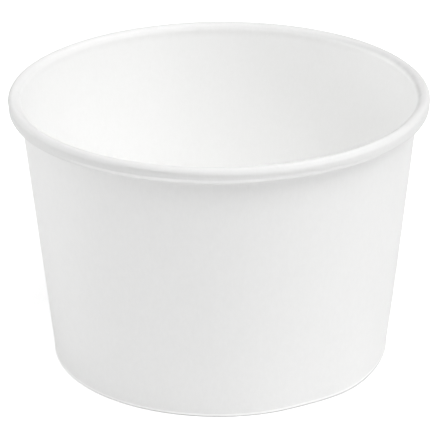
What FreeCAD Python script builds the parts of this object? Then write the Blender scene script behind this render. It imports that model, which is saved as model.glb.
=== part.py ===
import FreeCAD, Part
import math
import os

# Paper sundae cup: a tapered round tub of coated board, about half a litre, with a rolled rim.
# It is made from two blanks, as such cups are.
#   side_wall  one wrapped blank: tapered wall, lap seam, rolled rim and turned-in bottom hem
#   base_disc  one pressed blank: flat recessed floor with a skirt turned down into the hem
# Millimetres. The origin is the centre of the bottom ring, on the surface that the cup stands on,
# and +Z is up. The front of the cup is at -Y, and the lap seam is at its left, near -X.

# Driving sizes of the whole cup
RIM_DIAMETER = 115.0        # over the rolled rim, the size that a lid fits
BASE_DIAMETER = 93.9        # over the wall where its line meets the table
CUP_HEIGHT = 75.7           # from the table to the top of the roll

# Board
WALL_BOARD = 0.42           # thickness of the side wall's board
BASE_BOARD = 0.30           # thickness of the base disc's board

# Rolled rim
ROLL_WIDTH = 3.36           # from the wall's inside face to the front of the roll
ROLL_FRONT = 1.02           # height of the upright band at the front of the roll
ROLL_CLEARANCE = 0.08       # between the lap and the board's end inside the roll
RISE_LENGTH = 1.2           # of the board's end, which rises inside the roll after a full turn

# Bottom hem and base disc
HEM_HEIGHT = 7.0            # from the table to the top of the turned-in hem
FOLD_INSIDE_RADIUS = 0.05   # inside of each bend of the bottom fold
SEAL_GAP = 0.04             # between the skirt and the boards that hold it
SKIRT_LIFT = 0.15           # from the inside of the bottom fold to the skirt's lower edge
FLOOR_HEIGHT = 9.3          # from the table to the upper face of the floor
FLOOR_BEND_RADIUS = 0.60    # inside of the bend from the floor to the skirt

# Lap seam
SEAM_START = 171.5          # degrees from +X to the outer cut edge of the blank
LAP_WIDTH = 8.0             # overlap of the blank's two ends, measured at the rim
RAMP_WIDTH = 6.0            # width over which the outer end comes in beside the inner end
LAP_PRESSED = 0.12          # how far the lap is pressed together, short of two full boards
LAP_TRIM = 0.35             # how much shorter the outer end is at the hem and in the roll
RAMP_STEPS = 4              # strips that make up the ramp

# Bends are drawn as straight strips that touch the true bend, so that the cup is light to draw
ROLL_CORNERS = 4            # corners in each quarter turn of the roll that shows
FOLD_CORNERS = 2            # corners in each tight or hidden quarter turn


def step_from(point, heading, length):
    """The point that lies a length away along a heading, in the section plane."""
    angle = math.radians(heading)
    return (point[0] + length * math.cos(angle), point[1] + length * math.sin(angle))


class BoardPath:
    """The middle line of a bent board in section. Points are (outwards, up); headings are degrees."""

    def __init__(self, start, heading):
        self.corners = [start]
        self.headings = [heading]
        self.strip_length = 0.0

    def run(self, length):
        """A straight run along the present heading."""
        self.strip_length += length

    def bend(self, radius, turn, corners):
        """A bend on a middle radius, as equal corners. A positive turn is to the left."""
        corner_turn = turn / corners
        half_strip = radius * math.tan(math.radians(abs(corner_turn)) / 2)
        for _ in range(corners):
            self.run(half_strip)
            self.corners.append(self.end())
            self.headings.append(self.headings[-1] + corner_turn)
            self.strip_length = half_strip

    def end(self):
        """Where the path has got to."""
        return step_from(self.corners[-1], self.headings[-1], self.strip_length)

    def side(self, offset):
        """Points of the line that lies to the left of the path by an offset."""
        points = []
        before = [self.headings[0]] + self.headings
        after = self.headings + [self.headings[-1]]
        for point, heading_in, heading_out in zip(self.corners + [self.end()], before, after):
            half_turn = (heading_out - heading_in) / 2
            reach = offset / math.cos(math.radians(half_turn))
            points.append(step_from(point, heading_in + half_turn + 90.0, reach))
        return points

    def section(self, thickness):
        """Closed outline of a board of this thickness, in the plane of X and Z."""
        outline = self.side(thickness / 2) + self.side(-thickness / 2)[::-1]
        vectors = [FreeCAD.Vector(outwards, 0, up) for outwards, up in outline]
        return Part.makePolygon(vectors + vectors[:1])


def turned(shape, degrees):
    """A copy of a shape, turned about the cup's axis."""
    copy = shape.copy()
    copy.rotate(FreeCAD.Vector(0, 0, 0), FreeCAD.Vector(0, 0, 1), degrees)
    return copy


def revolved(wire, start, sweep):
    """The solid that a section makes, turned about the cup's axis from a start angle."""
    face = turned(Part.Face(wire), start)
    return face.revolve(FreeCAD.Vector(0, 0, 0), FreeCAD.Vector(0, 0, 1), sweep)


# Top bend of the roll: its outside touches the rim diameter and the cup's height
roll_top_radius = (ROLL_WIDTH - WALL_BOARD) / 2
roll_front_radius = (RIM_DIAMETER - WALL_BOARD) / 2
roll_centre = (roll_front_radius - roll_top_radius, CUP_HEIGHT - WALL_BOARD / 2 - roll_top_radius)

# Lean of the wall: its outside line starts at the base's edge and is tangent to the top bend
toward_roll = (roll_centre[0] - BASE_DIAMETER / 2, roll_centre[1])
lean = math.atan2(toward_roll[0], toward_roll[1])
lean -= math.asin((roll_top_radius - WALL_BOARD / 2) / math.hypot(toward_roll[0], toward_roll[1]))
lean_degrees = math.degrees(lean)

# Second layer of the lap: it lies this much further out than the first
lap_offset = WALL_BOARD - LAP_PRESSED


def wall_radius(height, inwards):
    """Radius at a height of the line that lies inwards of the wall's outside face."""
    return BASE_DIAMETER / 2 - inwards / math.cos(lean) + height * math.tan(lean)


# Bend under the roll: the leg that rises from it clears the lap's second layer
under_centre_height = roll_centre[1] - ROLL_FRONT
leg_outwards = lap_offset + ROLL_CLEARANCE + WALL_BOARD / 2
under_room = (roll_front_radius - wall_radius(under_centre_height, 0)) * math.cos(lean)
roll_under_radius = (under_room - leg_outwards) / (1 + math.cos(lean))


def wall_path(offset, trim):
    """Middle line of the side wall's blank in section, from the hem's top to the end in the roll.

    An offset nests a second layer outside the wall and inside the roll and the hem. The trim
    shortens both ends of the board.
    """
    skirt_room = BASE_BOARD + 2 * SEAL_GAP + WALL_BOARD
    fold_radius = FOLD_INSIDE_RADIUS + WALL_BOARD / 2
    fold_flat = (skirt_room + 2 * offset - 2 * fold_radius) / math.cos(lean)
    hem_top = HEM_HEIGHT - trim
    hem_foot = WALL_BOARD / 2 + fold_radius * (1 + math.sin(lean))
    hem_inwards = WALL_BOARD / 2 + skirt_room + offset

    # Down the hem and round the bottom fold
    path = BoardPath((wall_radius(hem_top, hem_inwards), hem_top), -90.0 - lean_degrees)
    path.run((hem_top - hem_foot) / math.cos(lean))
    path.bend(fold_radius, 90.0 + lean_degrees, FOLD_CORNERS)
    path.run(fold_flat)
    path.bend(fold_radius, 90.0 - lean_degrees, FOLD_CORNERS)

    # Up the wall, over the roll's top, down its front, round under it and up inside it
    top_radius = roll_top_radius - offset
    under_radius = roll_under_radius - offset
    wall_top = roll_centre[1] + top_radius * math.sin(lean)
    path.run((wall_top - path.end()[1]) / math.cos(lean))
    path.bend(top_radius, lean_degrees - 90.0, ROLL_CORNERS)
    path.bend(top_radius, -90.0, ROLL_CORNERS)
    path.run(ROLL_FRONT)
    path.bend(under_radius, -90.0, ROLL_CORNERS)
    path.bend(under_radius, -90.0 - lean_degrees, FOLD_CORNERS)
    path.run(RISE_LENGTH - trim)
    return path


def make_side_wall():
    """One solid: the wrapped wall with its rolled rim, its hem and its lap seam."""
    degrees_per_mm = 360.0 / (math.pi * RIM_DIAMETER)
    lap_sweep = LAP_WIDTH * degrees_per_mm
    ramp_sweep = RAMP_WIDTH * degrees_per_mm
    ramp_start = SEAM_START + lap_sweep

    # The single layer goes all the way round but for the ramp, and ends inside the lap
    single_section = wall_path(0.0, 0.0).section(WALL_BOARD)
    single = revolved(single_section, ramp_start + ramp_sweep, 360.0 - ramp_sweep)
    lap_section = wall_path(lap_offset, LAP_TRIM).section(WALL_BOARD)
    lap = revolved(lap_section, SEAM_START, lap_sweep)

    # The ramp eases from the second layer's place to the first's
    stations = []
    for step in range(RAMP_STEPS + 1):
        along = step / RAMP_STEPS
        share = 1 - along * along * (3 - 2 * along)
        section = wall_path(share * lap_offset, share * LAP_TRIM).section(WALL_BOARD)
        stations.append(turned(section, ramp_start + along * ramp_sweep))
    ramp = Part.makeLoft(stations, True, True)
    return single.fuse([lap, ramp])


def make_base_disc():
    """One solid: the flat floor with its skirt turned down into the hem."""
    skirt_inwards = WALL_BOARD + SEAL_GAP + BASE_BOARD / 2
    bend_radius = FLOOR_BEND_RADIUS + BASE_BOARD / 2
    floor_middle = FLOOR_HEIGHT - BASE_BOARD / 2
    skirt_foot = WALL_BOARD + SKIRT_LIFT
    bend_height = floor_middle - bend_radius
    bend_centre = wall_radius(bend_height, skirt_inwards + bend_radius)
    bend_foot = bend_height - bend_radius * math.sin(lean)

    # From the skirt's lower edge up to the bend, and over it to the middle of the floor
    path = BoardPath((wall_radius(skirt_foot, skirt_inwards), skirt_foot), 90.0 - lean_degrees)
    path.run((bend_foot - skirt_foot) / math.cos(lean))
    path.bend(bend_radius, 90.0 + lean_degrees, FOLD_CORNERS)
    path.run(bend_centre)
    return revolved(path.section(BASE_BOARD), 0.0, 360.0)


def main():
    os.makedirs("parts", exist_ok=True)
    for name, make in (("side_wall", make_side_wall), ("base_disc", make_base_disc)):
        solid = make()
        solid.exportStep(os.path.join("parts", name + ".step"))
        print(name, solid.ShapeType, len(solid.Solids), solid.isValid(), round(solid.Volume, 1))


main()
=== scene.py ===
import math

import bmesh
import bpy
from mathutils import Matrix, Vector


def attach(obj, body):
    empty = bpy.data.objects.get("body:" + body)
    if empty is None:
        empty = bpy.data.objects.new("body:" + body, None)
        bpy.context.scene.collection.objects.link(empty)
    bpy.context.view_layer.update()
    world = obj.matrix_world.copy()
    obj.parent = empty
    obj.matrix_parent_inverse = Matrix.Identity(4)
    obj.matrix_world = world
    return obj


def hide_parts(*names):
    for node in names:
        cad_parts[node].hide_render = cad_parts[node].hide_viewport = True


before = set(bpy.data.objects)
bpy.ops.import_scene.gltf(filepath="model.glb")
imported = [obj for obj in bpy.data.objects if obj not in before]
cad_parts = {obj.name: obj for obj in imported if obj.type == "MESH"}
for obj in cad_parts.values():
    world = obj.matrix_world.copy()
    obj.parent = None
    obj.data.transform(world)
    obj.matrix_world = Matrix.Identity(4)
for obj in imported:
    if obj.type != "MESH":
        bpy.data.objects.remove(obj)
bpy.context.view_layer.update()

# Paper sundae cup, in metres. The front of the cup is at -Y and its lap seam is near -X.
# Each piece is a sheet of board, swept round the cup's axis from its own section, so that the roll,
# the hem, the seam and the board's cut edges have their true form.

MM = 0.001

# Whole cup and its boards, as in the solids
RIM_RADIUS = 57.5 * MM
BASE_RADIUS = 46.95 * MM        # of the wall's outside line where it meets the table
CUP_HEIGHT = 75.7 * MM
WALL_BOARD = 0.42 * MM          # thickness of the side wall's board
BASE_BOARD = 0.30 * MM          # thickness of the base disc's board

# Rolled rim
ROLL_WIDTH = 3.36 * MM          # from the wall's inside face to the front of the roll
ROLL_FRONT = 1.02 * MM          # between the centres of the bends over and under the roll
ROLL_CLEARANCE = 0.08 * MM      # between the lap and the board's end inside the roll
RISE_LENGTH = 1.2 * MM          # of the board's end, which rises inside the roll
CREST_SHIFT = 0.42 * MM         # the crest lies this much outwards of the middle of the roll
ROLL_CORNER = 0.24 * MM         # middle radius of the two corners under the roll
LEAST_CORNER = 0.10 * MM        # the same in the second layer of the lap

# Bottom hem and base disc
HEM_HEIGHT = 7.0 * MM           # from the table to the top of the turned-in hem
FOLD_INSIDE_RADIUS = 0.05 * MM  # inside of each bend of the bottom fold
SEAL_GAP = 0.04 * MM            # between the skirt and the boards that hold it
SKIRT_LIFT = 0.15 * MM          # from the inside of the bottom fold to the skirt's lower edge
FLOOR_HEIGHT = 9.3 * MM         # from the table to the upper face of the floor's edge
FLOOR_BEND_RADIUS = 0.60 * MM   # inside of the bend from the floor to the skirt
FLOOR_SAG = 0.25 * MM           # how much lower the floor's middle is
CENTRE_HOLE = 0.4 * MM          # radius that the sweep leaves open, until it is filled
KNURL_RIBS = 156                # ribs pressed into the hem all round
KNURL_DEPTH = 0.09 * MM
KNURL_BOTTOM = (1.2 * MM, 1.8 * MM)     # heights between which the ribs begin
KNURL_TOP = (5.6 * MM, 6.2 * MM)        # heights between which they end

# Lap seam
SEAM_START = 171.5              # degrees from +X to the outer cut edge of the blank
LAP_WIDTH = 8.0 * MM            # overlap of the blank's two ends, measured at the rim
RAMP_WIDTH = 6.0 * MM           # width over which the outer end comes in beside the inner end
LAP_PRESSED = 0.12 * MM         # how far the lap is pressed together, short of two full boards
LAP_SCARF = 4.0 * MM            # length over which the inner end is pressed thin
SCARF_EDGE = 0.015 * MM         # what is left of the board's thickness at that end
LAP_STEP = 0.004                # radians to either side of the lap's start, where the board thins

# Shape of the press marks. A pair of lengths holds the limits between which a shape comes or goes.
# Those of the neck, crown, waist and lip are measured down from the cup's top, those of the foot
# from the axis or the table. A place is in degrees from +X, with its width in degrees and, where
# it is not 2, its steepness.
NECK_HEIGHT = 1.2 * MM          # of the wall's top, which the curling tool presses inwards
NECK_DEPTH = 0.16 * MM          # how far it is pressed in where that shows most
NECK_LEAST = 0.25               # share of that depth that it has everywhere
NECK_PLACE = (2.0, 25.0)        # where it shows most
NECK_TOP = (0.5 * MM, 1.7 * MM)         # limits between which the pressed line comes
NECK_BOTTOM = (1.8 * MM, 2.9 * MM)      # and goes
CROWN_FLAT = 0.16 * MM          # how far the crown is flattened between its crest and its front
CROWN_DROP = 0.35 * MM          # how much lower the crown's end lies there
CROWN_PLACE = (300.0, 38.0, 4)  # where it is flattened
CROWN_TURNS = (20.0, 90.0)      # degrees of the crown's bend over which it drops
CROWN_FADE = (1.3 * MM, 2.9 * MM)       # below the crown's end the drop goes
WAIST_DEPTH = 0.15 * MM         # how far the roll's front is pressed in between its crown and its lip
WAIST_TOP = 1.2 * MM            # where the front begins to come in
WAIST_FALL = 1.1 * MM           # height over which the front comes in
WAIST_UNEVEN = 0.25             # share of the depth that waves round the rim
WAIST_WAVE = 0.16 * MM          # how far the waist's top edge rises and sags
WAIST_LAG = 0.03                # radians between those waves and the roll's
LIP_HEIGHTS = (2.85 * MM, 3.60 * MM)    # limits between which the front comes out again
LIP_PLACE = (270.0, 44.0, 4)    # where it does so
LIP_FADE = (1.2 * MM, 3.0 * MM)         # limits between which the lip's rise and sag come
FOOT_HEIGHT = 1.4 * MM          # of the wall's foot, which swells out over the bottom fold
FOOT_SWELL = 0.15 * MM          # how far it swells out
FOOT_OUTER = (BASE_RADIUS - 1.2 * MM, BASE_RADIUS - 0.3 * MM)   # radii between which that comes
FOOT_FADE = (0.3 * MM, 1.0 * MM)        # heights between which it goes

# Marks at places round the rim, each with its amount first. The top and the foot add theirs to
# the whole wall's.
WAIST_DEEPER = ((0.90, 245.0, 18.0, 6), (-0.35, 276.0, 13.0, 4))
WAIST_SHALLOWER = ((0.4, 325.0, 24.0),)
WAIST_LOWER = ((1.15 * MM, 322.0, 34.0, 3), (-0.40 * MM, 252.0, 8.0, 4))
LIP_MARKS = ((0.10 * MM, 247.0, 4.0), (-0.12 * MM, 256.0, 7.0), (-0.10 * MM, 265.0, 4.0),
             (-0.10 * MM, 297.5, 2.5), (-0.12 * MM, 304.0, 1.5))
WALL_SQUEEZE = ((-0.24 * MM, 186.0, 38.0), (-0.10 * MM, 3.0, 40.0))
TOP_SQUEEZE = ((0.096 * MM, 186.0, 38.0), (-0.22 * MM, 24.0, 14.0), (-0.22 * MM, -19.0, 8.0))
FOOT_SQUEEZE = ((-0.30 * MM, -12.0, 14.0), (0.45 * MM, -42.0, 10.0), (-0.40 * MM, -62.0, 9.0))
TOP_ZONE = (0.90, 1.00)         # shares of the cup's height
FOOT_ZONE = (0.02, 0.25)

# Waves round the cup: height, number round the rim and phase
ROLL_WAVES = ((0.45, 38, 0.6), (0.35, 45, 2.1), (0.25, 29, 4.4), (0.20, 67, 1.2))
ROLL_SWELL = ((0.3, 7, 2.7),)
ROLL_SWELL_MIDDLE = 0.7         # strength of those waves, which swells and fades round the rim
PANEL_WAVES = ((0.6, 5, 1.0), (0.4, 9, 3.3))
LIP_WAVES = ((0.08 * MM, 11, 1.9), (0.05 * MM, 17, 0.4))
FLOOR_WAVES = ((0.06 * MM, 2, 0.4),)
PANEL_WAVE_DEPTH = 0.05 * MM
ROLL_WAVE_DEPTH = 0.04 * MM
ROLL_WAVE_SHARE = {"crest": 0.1, "crown": 0.5, "front": 0.8, "under": 1.0, "rise": 0.6}

# Fineness of the meshes
WALL_STATIONS = 620             # places along the wrapped blank
DISC_STATIONS = 320             # places round the base disc
SHARP_DEGREES = 40.0            # edges where two faces meet at more than this angle stay sharp
LEFT_SIDE, RIGHT_SIDE, CUT_EDGE = 0, 1, 2       # places of a sheet's materials

# Painted shade in a crease along the roll's inner edge. Each ramp has its two limits and the values at
# them.
CREASE_SHADE = 0.078            # how much darker the painted crease shade is at most
CREASE_CORE = 0.10 * MM         # half-width of its darkest part
CREASE_RADIUS_BY_Y = ((-34.0 * MM, 4.0 * MM), (55.60 * MM, 54.45 * MM))
CREASE_SHIFT_BY_Y = ((4.0 * MM, 30.0 * MM), (0.0, 0.35 * MM))
CREASE_WIDTH_BY_Y = ((0.0, 20.0 * MM), (0.60 * MM, 1.20 * MM))
CREASE_BY_X = ((15.0 * MM, 50.0 * MM), (0.20, 1.0))
CREASE_BY_Y = ((18.0 * MM, 44.0 * MM), (1.0, 0.0))
CREASE_BY_NOISE = ((0.35, 0.65), (0.4, 1.5))

# Painted shade of the roll beside the inside, painted shade and light of its front beside its top, and
# painted highlight of its lip
ROLL_SHADE_BY_X = ((-50.0 * MM, 50.0 * MM), (0.915, 0.832))
FRONT_SHADE_AND_LIGHT_BY_X = ((-50.0 * MM, 50.0 * MM), (0.905, 1.02))
ROLL_RADII = (53.90 * MM, 54.42 * MM)       # radii between which the roll's painted shade begins
FRONT_RADII = (56.20 * MM, 57.10 * MM)      # and its front's
LIP_RADII = (56.00 * MM, 56.20 * MM)        # and its lip's
LIP_TONE_HEIGHTS = (72.65 * MM, 72.85 * MM)
# Painted highlight on the roll's lip
LIP_HIGHLIGHT = 1.08
LIP_TONE_MIDDLE = -12.0 * MM                # along X
LIP_TONE_REACH = (22.0 * MM, 30.0 * MM)     # to either side of that

# Foot of the wall: a painted contact shadow line under a painted highlight band on the bottom fold
CONTACT_SHADE = 0.80
FOLD_HIGHLIGHT = 1.12
HIGHLIGHT_BOTTOM = (0.30 * MM, 0.46 * MM)
HIGHLIGHT_TOP = (0.75 * MM, 1.00 * MM)
HIGHLIGHT_RISE_BY_X = ((5.0 * MM, 40.0 * MM), (0.0, 0.30 * MM))

# Surfaces of the boards. A noise has its scale in features to a metre, its detail and its stretch.
NOISE_ROUGHNESS = 0.55
CLOUD_NOISE = (110.0, 3.0)
MOTTLE_NOISE = (900.0, 2.0, (1.0, 1.0, 0.5))
FIBRE_NOISE = (2600.0, 2.0, (1.0, 1.0, 0.35))
EDGE_NOISE = (5200.0, 3.0, (1.0, 1.0, 0.5))
PEBBLE_NOISE = (700.0,)
FINISH_NOISE = (400.0,)
CREASE_NOISE = (300.0,)
CLOUD_SHARE = 0.15
MOTTLE_SHARE = 0.45
FIBRE_SHARE = 0.40
PEBBLE_SHARE = 1.5              # of the bump, beside the fibres'
TINT_BY_NOISE = ((0.38, 0.62), (0.0, 1.0))
EDGE_TINT_BY_NOISE = ((0.35, 0.65), (0.0, 1.0))
FINISH_LIMITS = (0.3, 0.7)
FINISH_SPREAD = 0.06            # of the roughness, to either side
INSIDE_LOOK = {"light": (0.972, 0.972, 0.967), "dark": (0.952, 0.952, 0.947),
               "roughness": 0.45, "specular": 0.34, "grain": 0.012 * MM}
OUTSIDE_LOOK = {"light": (0.92, 0.92, 0.915), "dark": (0.90, 0.90, 0.895),
                "roughness": 0.58, "specular": 0.30, "grain": 0.016 * MM}
EDGE_DARK = (0.74, 0.73, 0.70)
EDGE_LIGHT = (0.86, 0.85, 0.83)
EDGE_ROUGHNESS = 0.85
EDGE_GRAIN = 0.04 * MM

# Camera, fitted to the cup's outline in the photograph. Angles are in degrees.
IMAGE_SIZE = 440
CAMERA_DISTANCE = 730.8 * MM
CAMERA_ELEVATION = 20.76
CAMERA_PITCH = 23.39
CAMERA_YAW = -0.006
CAMERA_ROLL = 0.430
FOCAL_PIXELS = 2678.3
SENSOR_WIDTH = 36.0
AIM_BELOW_RIM = 2.09 * MM

# Studio, in metres and degrees. A lamp's strength is the radiance of its face, where 1 is white.
STAGE_HALF = 3.0                # half of the floor's width
STAGE_COLOUR = (0.88, 0.88, 0.88, 1.0)
STAGE_ROUGHNESS = 0.9
STAGE_SPECULAR = 0.1
STAGE_GLOW = 0.42               # light that the camera alone sees on the floor
WORLD_STRENGTH = 0.12
WIDE = 1.4                      # widths of the lamps
SMALL = 0.55
LAMP_DISTANCE = 1.5
AIM_HEIGHT = 0.04               # of the point that the lamps face
LAMPS = (
    # name, size, radiance, direction round the cup from +X, elevation
    ("key_right", WIDE, 1.02, -20.0, 30.0),
    ("key_above", WIDE, 2.16, -20.0, 60.0),
    ("front_left", WIDE, 1.66, 240.0, 60.0),
    ("back_right", WIDE, 0.37, 60.0, 30.0),
    ("low_left", SMALL, 3.43, 180.0, 12.0),
    ("low_back_left", SMALL, 4.08, 150.0, 12.0),
    ("low_front", SMALL, 0.95, 240.0, 12.0),
)

# Derived sizes of the roll, the wall's lean and the lap
roll_top_radius = (ROLL_WIDTH - WALL_BOARD) / 2
roll_front_radius = RIM_RADIUS - WALL_BOARD / 2
roll_centre = (roll_front_radius - roll_top_radius, CUP_HEIGHT - WALL_BOARD / 2 - roll_top_radius)
toward_roll = (roll_centre[0] - BASE_RADIUS, roll_centre[1])
lean = math.atan2(toward_roll[0], toward_roll[1])
lean -= math.asin((roll_top_radius - WALL_BOARD / 2) / math.hypot(toward_roll[0], toward_roll[1]))
lean_degrees = math.degrees(lean)
lap_offset = WALL_BOARD - LAP_PRESSED


def wall_radius(height, inwards):
    """Radius at a height of the line that lies inwards of the wall's outside face."""
    return BASE_RADIUS - inwards / math.cos(lean) + height * math.tan(lean)


under_centre_height = roll_centre[1] - ROLL_FRONT
leg_outwards = lap_offset + ROLL_CLEARANCE + WALL_BOARD / 2
under_room = (roll_front_radius - wall_radius(under_centre_height, 0)) * math.cos(lean)
roll_under_radius = (under_room - leg_outwards) / (1 + math.cos(lean))


def smooth_step(value, low, high):
    """0 below low, 1 above high, and a smooth rise between."""
    share = min(max((value - low) / (high - low), 0.0), 1.0)
    return share * share * (3 - 2 * share)


def bell(angle, centre, width, power=2):
    """A smooth bell of height 1 at a place round the rim, in degrees from +X.

    A higher power gives it a flatter top and steeper sides.
    """
    turn = math.remainder(math.degrees(angle) - centre, 360.0)
    return math.exp(-abs(turn / width) ** power)


def bells(marks, angle):
    """The sum of marks round the rim, each an amount and the place of its bell."""
    return sum(amount * bell(angle, *place) for amount, *place in marks)


def waves(table, angle):
    """The sum of waves round the cup."""
    return sum(height * math.sin(count * angle + phase) for height, count, phase in table)


def roll_wave(angle):
    """Unevenness of the roll round the rim, about -1 to 1: waves of about 9 mm, and longer ones."""
    return waves(ROLL_WAVES, angle) * (ROLL_SWELL_MIDDLE + waves(ROLL_SWELL, angle))


class BoardPath:
    """The middle line of a bent board in section, as samples (outwards, up, heading, zone)."""

    def __init__(self, start, heading):
        self.point = start
        self.heading = heading
        self.samples = []

    def add(self, zone):
        self.samples.append((self.point[0], self.point[1], self.heading, zone))

    def run(self, length, steps, zone):
        """A straight run along the present heading."""
        angle = math.radians(self.heading)
        start = self.point
        for step in range(steps):
            along = length * step / steps
            self.point = (start[0] + along * math.cos(angle), start[1] + along * math.sin(angle))
            self.add(zone)
        self.point = (start[0] + length * math.cos(angle), start[1] + length * math.sin(angle))

    def bend(self, radius, turn, steps, zone):
        """A bend on a middle radius. A positive turn is to the left."""
        side = 1.0 if turn > 0 else -1.0
        start_heading = self.heading
        to_centre = math.radians(start_heading + side * 90.0)
        centre = (self.point[0] + radius * math.cos(to_centre),
                  self.point[1] + radius * math.sin(to_centre))
        for step in range(steps + 1):
            turned = turn * step / steps
            out = math.radians(start_heading + turned - side * 90.0)
            self.point = (centre[0] + radius * math.cos(out), centre[1] + radius * math.sin(out))
            self.heading = start_heading + turned
            if step < steps:
                self.add(zone)

    def finish(self, zone):
        self.add(zone)
        return self.samples


def wall_samples(offset):
    """Section of the side wall's blank, from the hem's top to the end inside the roll.

    An offset nests a second layer outside the wall and inside the roll and the hem.
    """
    skirt_room = BASE_BOARD + 2 * SEAL_GAP + WALL_BOARD
    fold_radius = FOLD_INSIDE_RADIUS + WALL_BOARD / 2
    fold_flat = (skirt_room + 2 * offset - 2 * fold_radius) / math.cos(lean)
    hem_foot = WALL_BOARD / 2 + fold_radius * (1 + math.sin(lean))
    hem_inwards = WALL_BOARD / 2 + skirt_room + offset
    path = BoardPath((wall_radius(HEM_HEIGHT, hem_inwards), HEM_HEIGHT), -90.0 - lean_degrees)
    path.run((HEM_HEIGHT - hem_foot) / math.cos(lean), steps=8, zone="hem")
    path.bend(fold_radius, 90.0 + lean_degrees, steps=4, zone="fold")
    path.run(fold_flat, steps=1, zone="fold")
    path.bend(fold_radius, 90.0 - lean_degrees, steps=4, zone="fold")
    path.run(FOOT_HEIGHT, steps=5, zone="foot")

    # Up the wall and over the crest
    inner_radius = roll_top_radius + CREST_SHIFT - offset
    crest_height = CUP_HEIGHT - WALL_BOARD / 2 - offset
    wall_top = crest_height - inner_radius * (1 - math.sin(lean))
    path.run((wall_top - path.point[1]) / math.cos(lean) - NECK_HEIGHT, steps=6, zone="wall")
    path.run(NECK_HEIGHT, steps=5, zone="neck")
    path.bend(inner_radius, lean_degrees - 90.0, steps=10, zone="crest")
    path.bend(roll_front_radius - offset - path.point[0], -90.0, steps=8, zone="crown")

    # Down the front, under the roll and up inside it
    corner = max(ROLL_CORNER - offset, LEAST_CORNER)
    bottom_height = under_centre_height - roll_under_radius + offset
    path.run(path.point[1] - bottom_height - corner, steps=15, zone="front")
    path.bend(corner, -90.0, steps=4, zone="under")
    leg_top = bottom_height + corner + RISE_LENGTH
    leg_radius = wall_radius(bottom_height, -leg_outwards) + corner
    path.run(path.point[0] - leg_radius, steps=2, zone="under")
    path.bend(corner, -90.0 - lean_degrees, steps=3, zone="under")
    path.run(leg_top - path.point[1], steps=1, zone="rise")
    return path.finish("rise")


def squeeze(height, angle):
    """How far the whole section is out of round, at a share of the cup's height."""
    low = 1 - smooth_step(height, *FOOT_ZONE)
    top = smooth_step(height, *TOP_ZONE)
    moved = bells(WALL_SQUEEZE, angle)
    return moved + top * bells(TOP_SQUEEZE, angle) + low * bells(FOOT_SQUEEZE, angle)


def crown_shape(outwards, up, heading, angle):
    """Flatten the roll's crown to a sloping facet that reaches lower, toward the right of the cup."""
    amount = bell(angle, *CROWN_PLACE)
    turned = min(-heading, 90.0)
    out = math.radians(turned)
    flat = CROWN_FLAT * amount * math.sin(2 * out) ** 2
    drop = CROWN_DROP * amount * smooth_step(turned, *CROWN_TURNS)
    drop *= 1 - smooth_step(CUP_HEIGHT - up, *CROWN_FADE)
    return (outwards - flat * math.sin(out), up - flat * math.cos(out) - drop)


def waist(angle, below_top, zone):
    """How far the roll's front is pressed in between its crown and its lip.

    The lip comes out again at the front of the cup, and less toward both ends.
    """
    depth = 1.0 + WAIST_UNEVEN * roll_wave(angle) + bells(WAIST_DEEPER, angle)
    depth *= WAIST_DEPTH * (1.0 - bells(WAIST_SHALLOWER, angle))
    lip = bell(angle, *LIP_PLACE)
    if zone != "front":
        return depth * (1 - lip)
    down = below_top + WAIST_WAVE * roll_wave(angle + WAIST_LAG)
    begin = WAIST_TOP + bells(WAIST_LOWER, angle)
    return depth * (smooth_step(down, begin, begin + WAIST_FALL) - lip * smooth_step(down, *LIP_HEIGHTS))


def shaped(outwards, up, heading, zone, angle):
    """Move a point of the wall's section from its true place to its uneven, hand-worn one."""
    height = up / CUP_HEIGHT
    below_top = CUP_HEIGHT - up
    moved = squeeze(height, angle)
    moved += PANEL_WAVE_DEPTH * waves(PANEL_WAVES, angle) * math.sin(math.pi * min(height, 1.0))
    moved += ROLL_WAVE_DEPTH * ROLL_WAVE_SHARE.get(zone, 0.0) * roll_wave(angle)
    if zone in ("neck", "crest"):
        pressed = smooth_step(below_top, *NECK_TOP) - smooth_step(below_top, *NECK_BOTTOM)
        shown = NECK_LEAST + (1 - NECK_LEAST) * bell(angle, *NECK_PLACE)
        moved -= NECK_DEPTH * pressed * shown
    if zone in ("fold", "foot"):
        outer = smooth_step(outwards, *FOOT_OUTER)
        moved += FOOT_SWELL * outer * (1 - smooth_step(up, *FOOT_FADE))
    outwards += moved
    if zone in ("crown", "front"):
        outwards, up = crown_shape(outwards, up, heading, angle)
    if zone in ("front", "under", "rise"):
        outwards -= waist(angle, below_top, zone)
        lip_rise = waves(LIP_WAVES, angle) + bells(LIP_MARKS, angle)
        up += lip_rise * smooth_step(below_top, *LIP_FADE)
    return (outwards, up)


def knurl(zone, up, angle):
    """Depth of the ribs that the machine presses into the hem's inner face."""
    if zone != "hem":
        return 0.0
    band = smooth_step(up, *KNURL_BOTTOM) - smooth_step(up, *KNURL_TOP)
    return KNURL_DEPTH * band * (0.5 + 0.5 * math.cos(KNURL_RIBS * angle))


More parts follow.
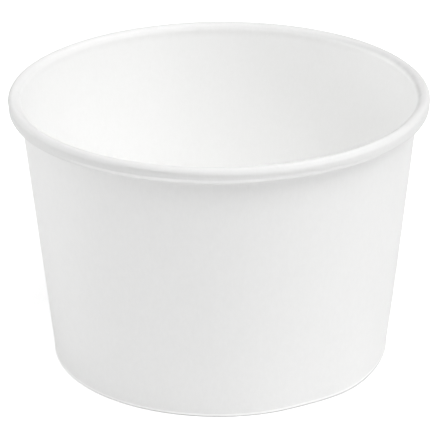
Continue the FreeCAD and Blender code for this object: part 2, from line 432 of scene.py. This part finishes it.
def wall_stations():
    """Angles along the wrapped blank, with the section's two sides at each."""
    lap = LAP_WIDTH / RIM_RADIUS
    ramp = RAMP_WIDTH / RIM_RADIUS
    scarf = LAP_SCARF / RIM_RADIUS
    start = math.radians(SEAM_START)
    sweep = 2 * math.pi + lap
    press = LAP_PRESSED / 2
    stations = []
    for i in range(WALL_STATIONS + 1):
        along = sweep * i / WALL_STATIONS
        lapped = along if along < math.pi else along - 2 * math.pi
        offset = lap_offset - (lap_offset - SCARF_EDGE + press) * smooth_step(lapped, lap - scarf, lap)
        offset -= (SCARF_EDGE - press) * smooth_step(lapped, lap, lap + ramp)
        outer_press = press * (1 - smooth_step(lapped, lap, lap + ramp))
        inner_press = 0.0
        if along > math.pi:
            thinned = smooth_step(lapped, -LAP_STEP, LAP_STEP)
            inner_press = (WALL_BOARD - outer_press - offset) * thinned
            offset = 0.0
            outer_press = 0.0
        angle = start + along
        left = []
        right = []
        for outwards, up, heading, zone in wall_samples(offset):
            side = math.radians(heading + 90.0)
            nx, nz = math.cos(side), math.sin(side)
            to_left = WALL_BOARD / 2 - outer_press - knurl(zone, up, angle)
            to_right = WALL_BOARD / 2 - inner_press
            middle = shaped(outwards, up, heading, zone, angle)
            left.append((middle[0] + to_left * nx, middle[1] + to_left * nz))
            right.append((middle[0] - to_right * nx, middle[1] - to_right * nz))
        stations.append((angle, left, right))
    return stations


def disc_samples():
    """Section of the base disc's blank, from the skirt's lower edge to the middle of the floor."""
    skirt_inwards = WALL_BOARD + SEAL_GAP + BASE_BOARD / 2
    bend_radius = FLOOR_BEND_RADIUS + BASE_BOARD / 2
    floor_middle = FLOOR_HEIGHT - BASE_BOARD / 2
    skirt_foot = WALL_BOARD + SKIRT_LIFT
    bend_height = floor_middle - bend_radius
    bend_centre = wall_radius(bend_height, skirt_inwards + bend_radius)
    bend_foot = bend_height - bend_radius * math.sin(lean)
    path = BoardPath((wall_radius(skirt_foot, skirt_inwards), skirt_foot), 90.0 - lean_degrees)
    path.run((bend_foot - skirt_foot) / math.cos(lean), steps=6, zone="skirt")
    path.bend(bend_radius, 90.0 + lean_degrees, steps=9, zone="edge")
    path.run(bend_centre - CENTRE_HOLE, steps=24, zone="floor")
    return path.finish("floor"), bend_centre


def disc_stations():
    """Angles round the base disc, with the section's two sides at each."""
    samples, floor_radius = disc_samples()
    stations = []
    for i in range(DISC_STATIONS):
        angle = 2 * math.pi * i / DISC_STATIONS
        left = []
        right = []
        for outwards, up, heading, zone in samples:
            side = math.radians(heading + 90.0)
            nx, nz = math.cos(side), math.sin(side)
            share = outwards / floor_radius
            outwards += squeeze(up / CUP_HEIGHT, angle) * share
            if zone == "floor":
                inside = 1 - share ** 2
                up -= FLOOR_SAG * inside
                up += waves(FLOOR_WAVES, angle) * inside * share
            left.append((outwards + BASE_BOARD / 2 * nx, up + BASE_BOARD / 2 * nz))
            right.append((outwards - BASE_BOARD / 2 * nx, up - BASE_BOARD / 2 * nz))
        stations.append((angle, left, right))
    return stations


def sheet_mesh(name, stations, closed):
    """A mesh swept round the axis.

    stations holds an angle and the section's left and right points at it, as (outwards, up). The
    sheet's two ends are capped unless it is closed. Faces get the material of the left side, the
    right side or the cut edges.
    """
    verts = []
    faces = []
    sides = []
    count = len(stations[0][1])
    ring = 2 * count
    for angle, left, right in stations:
        c, s = math.cos(angle), math.sin(angle)
        for outwards, up in left + right[::-1]:
            verts.append((outwards * c, outwards * s, up))
    last = len(stations) if closed else len(stations) - 1
    for i in range(last):
        a = i * ring
        b = ((i + 1) % len(stations)) * ring
        for j in range(ring):
            k = (j + 1) % ring
            faces.append((a + j, a + k, b + k, b + j))
            if j < count - 1:
                sides.append(LEFT_SIDE)
            elif count <= j < ring - 1:
                sides.append(RIGHT_SIDE)
            else:
                sides.append(CUT_EDGE)
    if not closed:
        for base, flip in ((0, False), (last * ring, True)):
            for j in range(count - 1):
                quad = (base + j, base + ring - 1 - j, base + ring - 2 - j, base + j + 1)
                faces.append(quad[::-1] if flip else quad)
                sides.append(CUT_EDGE)
    mesh = bpy.data.meshes.new(name)
    mesh.from_pydata(verts, [], faces)
    mesh.validate()
    mesh.polygons.foreach_set("material_index", sides)
    mesh.polygons.foreach_set("use_smooth", [True] * len(faces))
    mesh.update()
    return mesh


def fill_centre(mesh):
    """Close the small hole that the sweep leaves at the middle of a disc, above and below."""
    bm = bmesh.new()
    bm.from_mesh(mesh)
    near = [v for v in bm.verts if math.hypot(v.co.x, v.co.y) < 1.25 * CENTRE_HOLE]
    walls = [f for f in bm.faces if all(v in near for v in f.verts)]
    bmesh.ops.delete(bm, geom=walls, context="FACES_ONLY")
    rim = [e for e in bm.edges if e.is_boundary]
    bmesh.ops.holes_fill(bm, edges=rim, sides=0)
    for face in bm.faces:
        face.smooth = True
    bm.to_mesh(mesh)
    bm.free()
    mesh.update()


def add_piece(name, mesh, materials, node):
    """Put a piece in the scene in place of a node of the solids."""
    mesh.set_sharp_from_angle(angle=math.radians(SHARP_DEGREES))
    piece = bpy.data.objects.new(name, mesh)
    bpy.context.scene.collection.objects.link(piece)
    for material in materials:
        mesh.materials.append(material)
    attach(piece, "root")
    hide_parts(node)


class Nodes:
    """Short ways to build a material's nodes."""

    def __init__(self, name):
        self.material = bpy.data.materials.new(name)
        self.material.use_nodes = True
        self.tree = self.material.node_tree
        self.shader = self.tree.nodes["Principled BSDF"]
        self.output = self.tree.nodes["Material Output"]
        self.place = self.tree.nodes.new("ShaderNodeTexCoord").outputs["Object"]
        apart = self.tree.nodes.new("ShaderNodeSeparateXYZ")
        self.tree.links.new(self.place, apart.inputs["Vector"])
        self.x, self.y, self.z = apart.outputs

    def node(self, kind, **inputs):
        made = self.tree.nodes.new(kind)
        for key, value in inputs.items():
            made.inputs[key.replace("_", " ")].default_value = value
        return made

    def feed(self, socket, value):
        """Give a socket a number, or link another node's result to it."""
        if isinstance(value, (int, float)):
            socket.default_value = value
        else:
            self.tree.links.new(value, socket)

    def noise(self, scale, detail=2.0, stretch=None):
        """Noise on the object's own coordinates; the scale counts features in a metre."""
        made = self.node("ShaderNodeTexNoise", Scale=scale, Detail=detail, Roughness=NOISE_ROUGHNESS)
        place = self.place
        if stretch:
            mapping = self.node("ShaderNodeMapping", Scale=stretch)
            self.tree.links.new(place, mapping.inputs["Vector"])
            place = mapping.outputs["Vector"]
        self.tree.links.new(place, made.inputs["Vector"])
        return made.outputs["Fac"]

    def ramp(self, source, limits, values):
        """Map a value between two limits to a range, held outside them."""
        made = self.node("ShaderNodeMapRange")
        self.feed(made.inputs["Value"], source)
        self.feed(made.inputs["From Min"], limits[0])
        self.feed(made.inputs["From Max"], limits[1])
        self.feed(made.inputs["To Min"], values[0])
        self.feed(made.inputs["To Max"], values[1])
        return made.outputs["Result"]

    def math(self, operation, first, second=0.0):
        made = self.tree.nodes.new("ShaderNodeMath")
        made.operation = operation
        self.feed(made.inputs[0], first)
        self.feed(made.inputs[1], second)
        return made.outputs["Value"]

    def product(self, *factors):
        """All the factors, multiplied together."""
        result = factors[0]
        for factor in factors[1:]:
            result = self.math("MULTIPLY", result, factor)
        return result

    def mix(self, blend):
        """A colour mix with its factor, its two colours and its result."""
        made = self.tree.nodes.new("ShaderNodeMix")
        made.data_type = "RGBA"
        made.blend_type = blend
        colours = [socket for socket in made.inputs if socket.type == "RGBA"]
        result = [socket for socket in made.outputs if socket.type == "RGBA"][0]
        return made.inputs["Factor"], colours, result

    def tint(self, source, dark, light):
        """A base colour between two, by a value from 0 to 1."""
        factor, colours, result = self.mix("MIX")
        colours[0].default_value = dark + (1.0,)
        colours[1].default_value = light + (1.0,)
        self.tree.links.new(source, factor)
        self.tree.links.new(result, self.shader.inputs["Base Color"])

    def shade(self, source):
        """Multiply the base colour by a value."""
        factor, colours, result = self.mix("MULTIPLY")
        factor.default_value = 1.0
        colour = self.shader.inputs["Base Color"]
        self.tree.links.new(colour.links[0].from_socket, colours[0])
        self.tree.links.new(source, colours[1])
        self.tree.links.new(result, colour)

    def bump(self, height, distance):
        made = self.node("ShaderNodeBump", Strength=1.0, Distance=distance)
        self.tree.links.new(height, made.inputs["Height"])
        self.tree.links.new(made.outputs["Normal"], self.shader.inputs["Normal"])


def board_material(name, light, dark, roughness, specular, grain):
    """White coated board: faint cloudy formation, fine fibre grain and an uneven finish."""
    n = Nodes(name)
    clouds = n.noise(*CLOUD_NOISE)
    mottle = n.noise(*MOTTLE_NOISE)
    fibres = n.noise(*FIBRE_NOISE)
    mixed = n.math("ADD", n.product(clouds, CLOUD_SHARE), n.product(mottle, MOTTLE_SHARE))
    mixed = n.math("ADD", mixed, n.product(fibres, FIBRE_SHARE))
    n.tint(n.ramp(mixed, *TINT_BY_NOISE), dark, light)
    least, most = roughness - FINISH_SPREAD, roughness + FINISH_SPREAD
    rough = n.ramp(n.noise(*FINISH_NOISE), FINISH_LIMITS, (least, most))
    n.tree.links.new(rough, n.shader.inputs["Roughness"])
    n.shader.inputs["Specular IOR Level"].default_value = specular
    pebbles = n.product(n.noise(*PEBBLE_NOISE), PEBBLE_SHARE)
    n.bump(n.math("ADD", fibres, pebbles), grain)
    return n


def shade_roll(n):
    """Painted shade and light on the coated side over the roll: an uneven painted crease shade along its
    inner edge, the roll painted darker than the inside, and a painted highlight on its lip.
    """
    radius = n.math("SQRT", n.math("ADD", n.product(n.x, n.x), n.product(n.y, n.y)))

    # Painted shade: a dark crease line that lies at the wall's top at the right and climbs to the crest
    # toward the front
    crease_radius = n.ramp(n.y, *CREASE_RADIUS_BY_Y)
    crease_radius = n.math("ADD", crease_radius, n.ramp(n.y, *CREASE_SHIFT_BY_Y))
    off_crease = n.math("ABSOLUTE", n.math("SUBTRACT", radius, crease_radius))
    crease = n.ramp(off_crease, (CREASE_CORE, n.ramp(n.y, *CREASE_WIDTH_BY_Y)), (1.0, 0.0))
    strength = n.product(n.ramp(n.x, *CREASE_BY_X), n.ramp(n.y, *CREASE_BY_Y))
    strength = n.product(strength, n.ramp(n.noise(*CREASE_NOISE), *CREASE_BY_NOISE))
    kept = n.math("SUBTRACT", 1.0, n.product(crease, strength, CREASE_SHADE))

    # Painted shade: the roll is a little darker than the inside, more at the right, and at the left on
    # its front; a faint painted highlight lifts the front at the right
    roll_shade = n.ramp(radius, ROLL_RADII, (1.0, n.ramp(n.x, *ROLL_SHADE_BY_X)))
    front_shade_and_light = n.ramp(radius, FRONT_RADII, (1.0, n.ramp(n.x, *FRONT_SHADE_AND_LIGHT_BY_X)))

    # Painted highlight: the lip is paler at the front and the left
    off_middle = n.math("ABSOLUTE", n.math("SUBTRACT", n.x, LIP_TONE_MIDDLE))
    lip_highlight = n.ramp(off_middle, LIP_TONE_REACH, (LIP_HIGHLIGHT, 1.0))
    lip_highlight = n.ramp(n.z, LIP_TONE_HEIGHTS, (lip_highlight, 1.0))
    lip_highlight = n.ramp(radius, LIP_RADII, (1.0, lip_highlight))
    n.shade(n.product(kept, roll_shade, front_shade_and_light, lip_highlight))


def shade_foot(n):
    """Paint a paler highlight band on the outside of the bottom fold, over a darker painted contact
    shadow line.
    """
    height = n.math("SUBTRACT", n.z, n.ramp(n.x, *HIGHLIGHT_RISE_BY_X))
    line = n.ramp(height, HIGHLIGHT_BOTTOM, (CONTACT_SHADE, FOLD_HIGHLIGHT))
    fade = n.ramp(height, HIGHLIGHT_TOP, (FOLD_HIGHLIGHT, 1.0))
    n.shade(n.math("MINIMUM", line, fade))


def cut_edge_material():
    """The board's raw cut edge: layered fibres, a little darker and rougher than its faces."""
    n = Nodes("board_cut_edge")
    fibres = n.noise(*EDGE_NOISE)
    n.tint(n.ramp(fibres, *EDGE_TINT_BY_NOISE), EDGE_DARK, EDGE_LIGHT)
    n.shader.inputs["Roughness"].default_value = EDGE_ROUGHNESS
    n.bump(fibres, EDGE_GRAIN)
    return n.material


def make_cup():
    """The two boards of the cup, with their coated, plain and cut faces."""
    coated = board_material("board_inside", **INSIDE_LOOK)
    shade_roll(coated)
    outer = board_material("board_outside", **OUTSIDE_LOOK)
    shade_foot(outer)
    inside, outside = coated.material, outer.material
    edge = cut_edge_material()

    wall = sheet_mesh("wrapped_side_wall", wall_stations(), closed=False)
    add_piece("wrapped_side_wall", wall, (inside, outside, edge), "side_wall")

    disc = sheet_mesh("pressed_base_disc", disc_stations(), closed=True)
    fill_centre(disc)
    add_piece("pressed_base_disc", disc, (outside, inside, edge), "base_disc")


def floor_material():
    """A pale floor that shows as white to the camera and keeps the cup's soft shadow."""
    n = Nodes("pale_floor")
    n.shader.inputs["Base Color"].default_value = STAGE_COLOUR
    n.shader.inputs["Roughness"].default_value = STAGE_ROUGHNESS
    n.shader.inputs["Specular IOR Level"].default_value = STAGE_SPECULAR
    path = n.tree.nodes.new("ShaderNodeLightPath")
    glow = n.tree.nodes.new("ShaderNodeEmission")
    n.tree.links.new(n.product(path.outputs["Is Camera Ray"], STAGE_GLOW), glow.inputs["Strength"])
    both = n.tree.nodes.new("ShaderNodeAddShader")
    n.tree.links.new(n.shader.outputs["BSDF"], both.inputs[0])
    n.tree.links.new(glow.outputs["Emission"], both.inputs[1])
    n.tree.links.new(both.outputs["Shader"], n.output.inputs["Surface"])
    return n.material


def add_lamp(name, size, radiance, direction, elevation):
    """A square soft lamp that faces the cup."""
    light = bpy.data.lights.new(name, "AREA")
    light.shape = "SQUARE"
    light.size = size
    light.energy = radiance * math.pi * size ** 2
    lamp = bpy.data.objects.new(name, light)
    around = math.radians(direction)
    up = math.radians(elevation)
    toward = Vector((math.cos(up) * math.cos(around), math.cos(up) * math.sin(around), math.sin(up)))
    lamp.location = toward * LAMP_DISTANCE + Vector((0, 0, AIM_HEIGHT))
    lamp.rotation_euler = (-toward).to_track_quat("-Z", "Y").to_euler()
    bpy.context.scene.collection.objects.link(lamp)


def make_studio():
    """The floor under the cup, the lamps round it and a faint even light."""
    mesh = bpy.data.meshes.new("studio_floor")
    corners = [(-STAGE_HALF, -STAGE_HALF, 0), (STAGE_HALF, -STAGE_HALF, 0),
               (STAGE_HALF, STAGE_HALF, 0), (-STAGE_HALF, STAGE_HALF, 0)]
    mesh.from_pydata(corners, [], [(0, 1, 2, 3)])
    mesh.materials.append(floor_material())
    floor = bpy.data.objects.new("studio_floor", mesh)
    bpy.context.scene.collection.objects.link(floor)
    for lamp in LAMPS:
        add_lamp(*lamp)
    world = bpy.data.worlds.new("soft_world")
    world.use_nodes = True
    background = world.node_tree.nodes["Background"]
    background.inputs["Color"].default_value = (1.0, 1.0, 1.0, 1.0)
    background.inputs["Strength"].default_value = WORLD_STRENGTH
    bpy.context.scene.world = world


def make_camera():
    """Stand the camera where the photograph's outline of the cup puts it."""
    elevation = math.radians(CAMERA_ELEVATION)
    pitch = math.radians(CAMERA_PITCH)
    yaw = Matrix.Rotation(math.radians(CAMERA_YAW), 3, "Z")
    roll = math.radians(CAMERA_ROLL)
    forward = yaw @ Vector((0, math.cos(pitch), -math.sin(pitch)))
    right = yaw @ Vector((1, 0, 0))
    down = yaw @ Vector((0, -math.sin(pitch), -math.cos(pitch)))
    turned_right = math.cos(roll) * right + math.sin(roll) * down
    turned_down = -math.sin(roll) * right + math.cos(roll) * down
    lens = bpy.data.cameras.new("camera")
    lens.lens = FOCAL_PIXELS / IMAGE_SIZE * SENSOR_WIDTH
    lens.sensor_width = SENSOR_WIDTH
    camera = bpy.data.objects.new("camera", lens)
    place = Vector((0, -math.cos(elevation), math.sin(elevation))) * CAMERA_DISTANCE
    place.z += CUP_HEIGHT - AIM_BELOW_RIM
    axes = Matrix((turned_right, -turned_down, -forward)).transposed()
    camera.matrix_world = Matrix.Translation(place) @ axes.to_4x4()
    bpy.context.scene.collection.objects.link(camera)
    bpy.context.scene.camera = camera


make_cup()
make_studio()
make_camera()
bpy.context.scene.view_settings.view_transform = "Standard"
